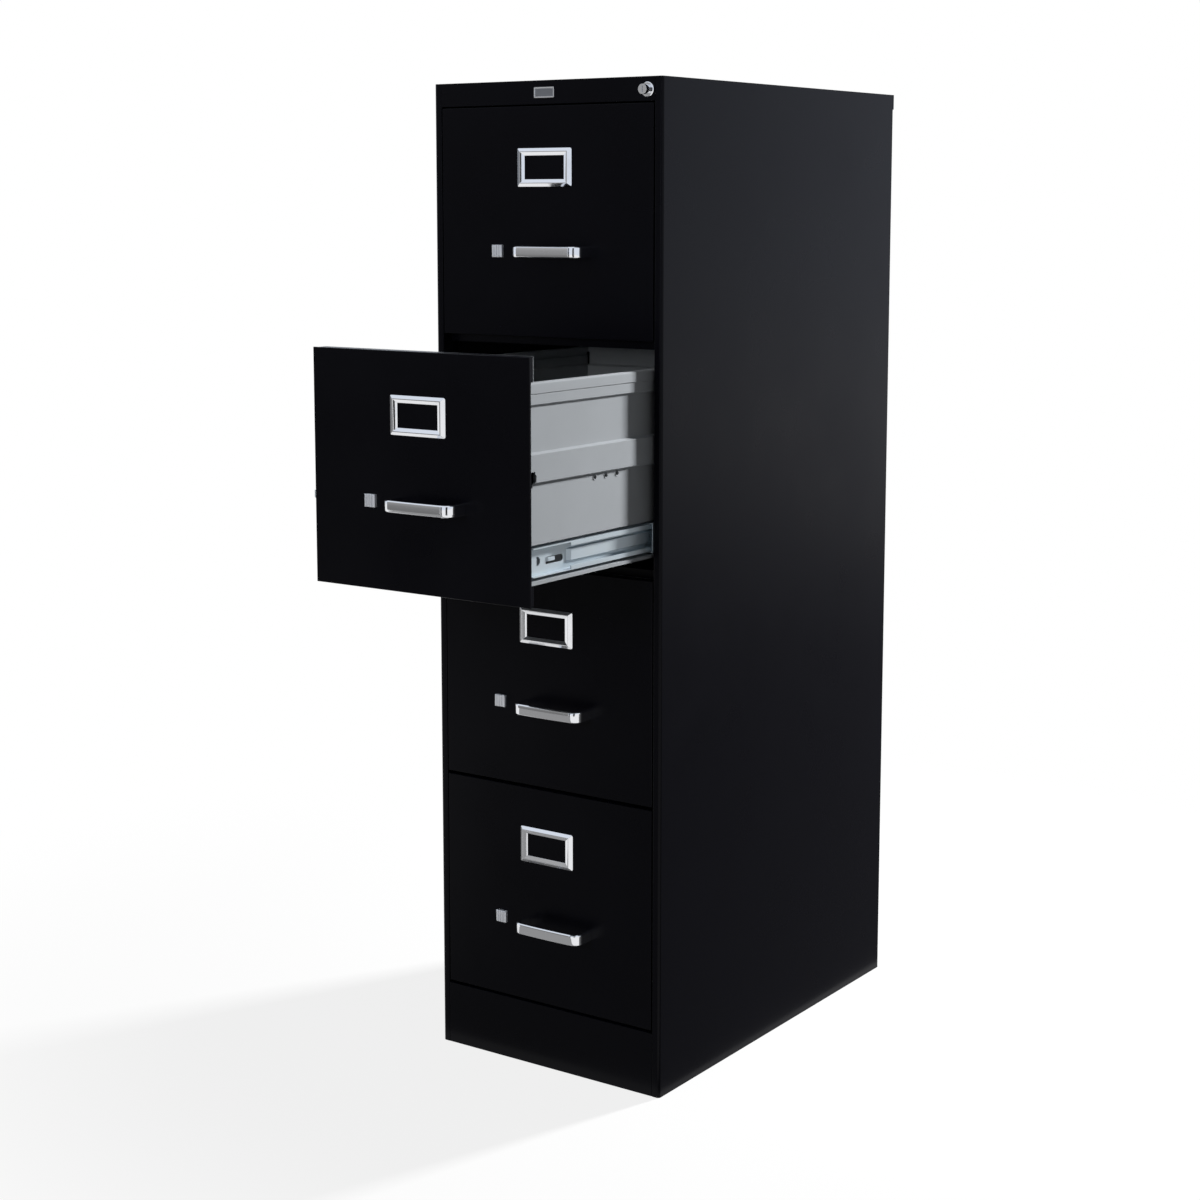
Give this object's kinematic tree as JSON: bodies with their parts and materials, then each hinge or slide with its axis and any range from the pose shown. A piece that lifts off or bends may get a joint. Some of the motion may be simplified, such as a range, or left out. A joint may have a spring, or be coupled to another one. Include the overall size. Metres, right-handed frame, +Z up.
{
  "type": "vertical filing cabinet",
  "caption": "Tall steel filing cabinet with letter-size drawers on telescoping slides, bow handles, label frames, thumb latches and a push lock.",
  "frame": {"origin": "on the floor at the middle of the case's footprint", "axes": "+Z up, +X to the cabinet's right as seen from the front, +Y to its back"},
  "size_m": [0.362, 0.9092, 1.321],
  "materials": {
    "case_black": "satin black powder coat",
    "drawer_grey": "light grey enamel",
    "zinc": "bright zinc plate",
    "bright": "polished chrome plate",
    "spring_steel": "plain spring steel"
  },
  "bodies": {
    "case": {"side_panel_left": "case_black", "side_panel_right": "case_black", "back_panel": "case_black", "top_panel": "case_black", "front_header": "case_black", "cross_rails": "case_black", "base_frame": "case_black", "slide_posts_front": "case_black", "slide_posts_rear": "case_black", "case_slides_right": "zinc", "case_slides_left": "zinc", "lock_housing": "bright", "nameplate": "bright"},
    "lock_plunger": {"lock_plunger": "bright"},
    "lock_crank": {"lock_crank": "zinc"},
    "lock_bar": {"lock_bar": "zinc"},
    "drawer_1": {"drawer_front_1": "case_black", "drawer_inner_front_1": "drawer_grey", "drawer_body_1": "drawer_grey", "drawer_back_1": "drawer_grey", "drawer_slides_1": "zinc", "handle_1": "bright", "label_holder_1": "bright", "latch_spring_1": "spring_steel"},
    "middle_slides_1": {"middle_slides_1": "zinc"},
    "latch_1": {"thumb_latch_1": "bright", "latch_bar_1": "zinc"},
    "drawer_2": {"drawer_front_2": "case_black", "drawer_inner_front_2": "drawer_grey", "drawer_body_2": "drawer_grey", "drawer_back_2": "drawer_grey", "drawer_slides_2": "zinc", "handle_2": "bright", "label_holder_2": "bright", "latch_spring_2": "spring_steel"},
    "middle_slides_2": {"middle_slides_2": "zinc"},
    "latch_2": {"thumb_latch_2": "bright", "latch_bar_2": "zinc"},
    "drawer_3": {"drawer_front_3": "case_black", "drawer_inner_front_3": "drawer_grey", "drawer_body_3": "drawer_grey", "drawer_back_3": "drawer_grey", "drawer_slides_3": "zinc", "handle_3": "bright", "label_holder_3": "bright", "latch_spring_3": "spring_steel"},
    "middle_slides_3": {"middle_slides_3": "zinc"},
    "latch_3": {"thumb_latch_3": "bright", "latch_bar_3": "zinc"},
    "drawer_4": {"drawer_front_4": "case_black", "drawer_inner_front_4": "drawer_grey", "drawer_body_4": "drawer_grey", "drawer_back_4": "drawer_grey", "drawer_slides_4": "zinc", "handle_4": "bright", "label_holder_4": "bright", "latch_spring_4": "spring_steel"},
    "middle_slides_4": {"middle_slides_4": "zinc"},
    "latch_4": {"thumb_latch_4": "bright", "latch_bar_4": "zinc"}
  },
  "joints": [
    {"name": "drawer_1", "type": "slide", "parent": "case", "child": "drawer_1", "axis": [0, -1, 0], "range_m": [0, 0.56]},
    {"name": "middle_slides_1", "type": "slide", "parent": "case", "child": "middle_slides_1", "axis": [0, -1, 0], "range_m": [0, 0.28]},
    {"name": "latch_1", "type": "slide", "parent": "drawer_1", "child": "latch_1", "axis": [1, 0, 0], "range_m": [0, 0.007], "stiffness_N_per_m": 400, "springref_m": -0.005, "deforming": ["latch_spring_1"]},
    {"name": "drawer_2", "type": "slide", "parent": "case", "child": "drawer_2", "axis": [0, -1, 0], "range_m": [-0.26, 0.3]},
    {"name": "middle_slides_2", "type": "slide", "parent": "case", "child": "middle_slides_2", "axis": [0, -1, 0], "range_m": [-0.13, 0.15]},
    {"name": "latch_2", "type": "slide", "parent": "drawer_2", "child": "latch_2", "axis": [1, 0, 0], "range_m": [0, 0.007], "stiffness_N_per_m": 400, "springref_m": -0.005, "deforming": ["latch_spring_2"]},
    {"name": "drawer_3", "type": "slide", "parent": "case", "child": "drawer_3", "axis": [0, -1, 0], "range_m": [0, 0.56]},
    {"name": "middle_slides_3", "type": "slide", "parent": "case", "child": "middle_slides_3", "axis": [0, -1, 0], "range_m": [0, 0.28]},
    {"name": "latch_3", "type": "slide", "parent": "drawer_3", "child": "latch_3", "axis": [1, 0, 0], "range_m": [0, 0.007], "stiffness_N_per_m": 400, "springref_m": -0.005, "deforming": ["latch_spring_3"]},
    {"name": "drawer_4", "type": "slide", "parent": "case", "child": "drawer_4", "axis": [0, -1, 0], "range_m": [0, 0.56]},
    {"name": "middle_slides_4", "type": "slide", "parent": "case", "child": "middle_slides_4", "axis": [0, -1, 0], "range_m": [0, 0.28]},
    {"name": "latch_4", "type": "slide", "parent": "drawer_4", "child": "latch_4", "axis": [1, 0, 0], "range_m": [0, 0.007], "stiffness_N_per_m": 400, "springref_m": -0.005, "deforming": ["latch_spring_4"]},
    {"name": "lock_plunger", "type": "slide", "parent": "case", "child": "lock_plunger", "axis": [0, -1, 0], "range_m": [-0.009, 0]},
    {"name": "lock_crank", "type": "hinge", "parent": "case", "child": "lock_crank", "pos_m": [0.1753, -0.27539, 1.29091], "axis": [1, 0, 0], "range_deg": [-36.8, 0]},
    {"name": "lock_bar", "type": "slide", "parent": "case", "child": "lock_bar", "axis": [0, 0, -1], "range_m": [-0.014, 0]}
  ],
  "couplings": [
    {"joint": "middle_slides_1", "follows": "drawer_1", "ratio": 0.5},
    {"joint": "middle_slides_2", "follows": "drawer_2", "ratio": 0.5},
    {"joint": "middle_slides_3", "follows": "drawer_3", "ratio": 0.5},
    {"joint": "middle_slides_4", "follows": "drawer_4", "ratio": 0.5},
    {"joint": "lock_crank", "follows": "lock_plunger", "rad_per_m": 71.365},
    {"joint": "lock_bar", "follows": "lock_plunger", "ratio": 1.5556}
  ]
}
